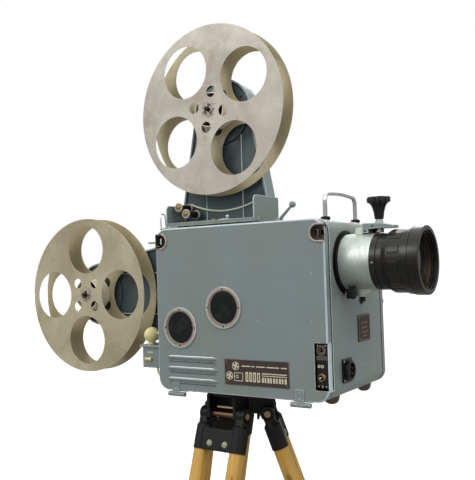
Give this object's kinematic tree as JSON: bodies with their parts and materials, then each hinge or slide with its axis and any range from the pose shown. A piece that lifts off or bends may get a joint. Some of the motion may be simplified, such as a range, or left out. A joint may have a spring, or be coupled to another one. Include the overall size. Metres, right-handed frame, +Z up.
{
  "type": "portable cinema projector on tripod",
  "caption": "Portable 35 mm film projector with hinged side cover, lens, feed and take-up reels on arms, standing on a folding wooden tripod.",
  "frame": {"origin": "on the floor, at the middle of the bounding box seen from above", "axes": "+X the way the lens looks, +Y away from the hinged side cover, +Z up"},
  "size_m": [1.054, 0.592, 1.7214],
  "materials": {
    "case_paint": "grey-green stoved enamel, satin, worn at edges",
    "slate_paint": "dark slate blue-grey enamel, satin",
    "black_paint": "black enamel on castings, chipped",
    "black_cast": "black painted casting",
    "black_plastic": "black phenolic plastic and lacquer",
    "cream_plastic": "aged cream plastic",
    "reel_metal": "stained grey-beige sheet metal",
    "steel": "machined steel",
    "chrome": "polished chrome",
    "aluminium": "silver satin aluminium",
    "copper": "brown copper-coloured steel pin",
    "brown_plate": "brown enamelled plate with cream line art",
    "glass": "dark glass",
    "wood": "varnished yellow wood"
  },
  "bodies": {
    "projector": {"case_body": "case_paint", "drive_cover": "case_paint", "mechanism_plate": "case_paint", "film_gate": "steel", "lamp_house": "black_paint", "drive_motor": "black_cast", "lens_sleeve": "aluminium", "clamp_bracket": "case_paint", "carry_handle": "chrome", "front_connector": "black_plastic", "switch_panel": "black_plastic", "terminal_box": "case_paint", "terminal_plug": "cream_plastic", "upper_lead": "cream_plastic", "lower_lead": "cream_plastic", "arm_bracket": "case_paint", "feed_arm": "slate_paint", "take_up_arm": "slate_paint", "tripod_head": "black_paint"},
    "cover": {"side_cover": "case_paint", "window_rear": "glass", "window_front": "glass", "nameplate": "brown_plate"},
    "rear_latch": {"latch_rear": "steel"},
    "front_latch": {"latch_front": "steel"},
    "lens": {"lens_barrel": "black_plastic", "lens_glass": "glass"},
    "clamp_knob_body": {"clamp_knob": "black_plastic"},
    "focus_knob_body": {"focus_knob": "black_plastic"},
    "toggle": {"toggle_switch": "steel"},
    "feed_spool": {"feed_reel": "reel_metal", "feed_reel_front_flange": "reel_metal"},
    "take_up_spool": {"take_up_reel": "reel_metal", "take_up_reel_front_flange": "reel_metal"},
    "rear_roller": {"guide_roller_rear": "steel"},
    "front_roller": {"guide_roller_front": "steel"},
    "lever": {"ball_lever": "case_paint"},
    "shutter_disc": {"shutter": "steel"},
    "upper_wheel": {"upper_sprocket": "steel"},
    "intermittent_wheel": {"intermittent_sprocket": "steel"},
    "lower_wheel": {"lower_sprocket": "steel"},
    "inching": {"inching_knob": "black_plastic"},
    "leg_a": {"leg_a_hinge_pin": "copper", "leg_a_socket": "black_paint", "leg_a_left_pole": "wood", "leg_a_right_pole": "wood", "leg_a_collar": "black_paint"},
    "leg_a_lower": {"leg_a_extension": "wood"},
    "leg_b": {"leg_b_hinge_pin": "copper", "leg_b_socket": "black_paint", "leg_b_left_pole": "wood", "leg_b_right_pole": "wood", "leg_b_collar": "black_paint"},
    "leg_b_lower": {"leg_b_extension": "wood"},
    "leg_c": {"leg_c_hinge_pin": "copper", "leg_c_socket": "black_paint", "leg_c_left_pole": "wood", "leg_c_right_pole": "wood", "leg_c_collar": "black_paint"},
    "leg_c_lower": {"leg_c_extension": "wood"}
  },
  "joints": [
    {"name": "cover_open", "type": "hinge", "parent": "projector", "child": "cover", "pos_m": [0.153, -0.01554, 0.9134], "axis": [1, 0, 0], "range_deg": [0, 90]},
    {"name": "rear_latch_slide", "type": "slide", "parent": "cover", "child": "rear_latch", "axis": [1, 0, 0], "range_m": [0, 0.006]},
    {"name": "front_latch_slide", "type": "slide", "parent": "cover", "child": "front_latch", "axis": [-1, 0, 0], "range_m": [0, 0.006]},
    {"name": "lens_focus", "type": "slide", "parent": "projector", "child": "lens", "axis": [1, 0, 0], "range_m": [0, 0.012]},
    {"name": "focus_turn", "type": "hinge", "parent": "projector", "child": "focus_knob_body", "pos_m": [0.382, 0.07826, 1.1214], "axis": [0, 1, 0], "range_deg": [0, 300]},
    {"name": "clamp_screw", "type": "hinge", "parent": "projector", "child": "clamp_knob_body", "pos_m": [0.433, 0.07826, 1.2704], "axis": [0, 0, 1], "range_deg": [0, 330]},
    {"name": "toggle_throw", "type": "hinge", "parent": "projector", "child": "toggle", "pos_m": [0.344, -0.00854, 0.9674], "axis": [1, 0, 0], "range_deg": [-18, 18]},
    {"name": "feed_spin", "type": "hinge", "parent": "projector", "child": "feed_spool", "pos_m": [0.0526, 0.07826, 1.5324], "axis": [0, 1, 0], "continuous": true},
    {"name": "take_up_spin", "type": "hinge", "parent": "projector", "child": "take_up_spool", "pos_m": [-0.337, 0.07826, 1.1228], "axis": [0, 1, 0], "continuous": true},
    {"name": "rear_roller_spin", "type": "hinge", "parent": "projector", "child": "rear_roller", "pos_m": [-0.0404, 0.07826, 1.3204], "axis": [0, 1, 0], "continuous": true},
    {"name": "front_roller_spin", "type": "hinge", "parent": "projector", "child": "front_roller", "pos_m": [-0.02, 0.07826, 1.3044], "axis": [0, 1, 0], "continuous": true},
    {"name": "lever_throw", "type": "hinge", "parent": "projector", "child": "lever", "pos_m": [0.211, 0.07826, 1.2754], "axis": [0, 1, 0], "range_deg": [-60, 0]},
    {"name": "shutter_spin", "type": "hinge", "parent": "projector", "child": "shutter_disc", "pos_m": [0.261, 0.14146, 1.1524], "axis": [1, 0, 0], "continuous": true},
    {"name": "upper_sprocket_spin", "type": "hinge", "parent": "projector", "child": "upper_wheel", "pos_m": [0.228, 0.07826, 1.2204], "axis": [0, 1, 0], "continuous": true},
    {"name": "intermittent_spin", "type": "hinge", "parent": "projector", "child": "intermittent_wheel", "pos_m": [0.289, 0.07826, 1.1084], "axis": [0, 1, 0], "continuous": true},
    {"name": "lower_sprocket_spin", "type": "hinge", "parent": "projector", "child": "lower_wheel", "pos_m": [0.215, 0.07826, 1.0324], "axis": [0, 1, 0], "continuous": true},
    {"name": "inching_spin", "type": "hinge", "parent": "projector", "child": "inching", "pos_m": [0.343, 0.26146, 1.0954], "axis": [0, 1, 0], "continuous": true},
    {"name": "leg_b_fold", "type": "hinge", "parent": "projector", "child": "leg_b", "pos_m": [0.15073, 0.11184, 0.8704], "axis": [-0.4679, 0.8838, 0], "range_deg": [0, 18]},
    {"name": "leg_b_extend", "type": "slide", "parent": "leg_b", "child": "leg_b_lower", "axis": [0.2863, 0.1516, -0.9461], "range_m": [-0.15, 0.12]},
    {"name": "leg_c_fold", "type": "hinge", "parent": "projector", "child": "leg_c", "pos_m": [0.04687, 0.11564, 0.8704], "axis": [-0.5314, -0.8471, 0], "range_deg": [0, 18]},
    {"name": "leg_c_extend", "type": "slide", "parent": "leg_c", "child": "leg_c_lower", "axis": [-0.2744, 0.1721, -0.9461], "range_m": [-0.15, 0.12]},
    {"name": "leg_a_fold", "type": "hinge", "parent": "projector", "child": "leg_a", "pos_m": [0.0955, 0.0238, 0.8704], "axis": [0.9993, -0.0366, 0], "range_deg": [0, 18]},
    {"name": "leg_a_extend", "type": "slide", "parent": "leg_a", "child": "leg_a_lower", "axis": [-0.0119, -0.3237, -0.9461], "range_m": [-0.15, 0.12]}
  ],
  "couplings": [
    {"joint": "focus_turn", "follows": "lens_focus", "rad_per_m": 436.33},
    {"joint": "upper_sprocket_spin", "follows": "shutter_spin", "ratio": 0.25},
    {"joint": "intermittent_spin", "follows": "shutter_spin", "ratio": 0.25},
    {"joint": "lower_sprocket_spin", "follows": "shutter_spin", "ratio": 0.25},
    {"joint": "inching_spin", "follows": "shutter_spin", "ratio": 0.25}
  ]
}
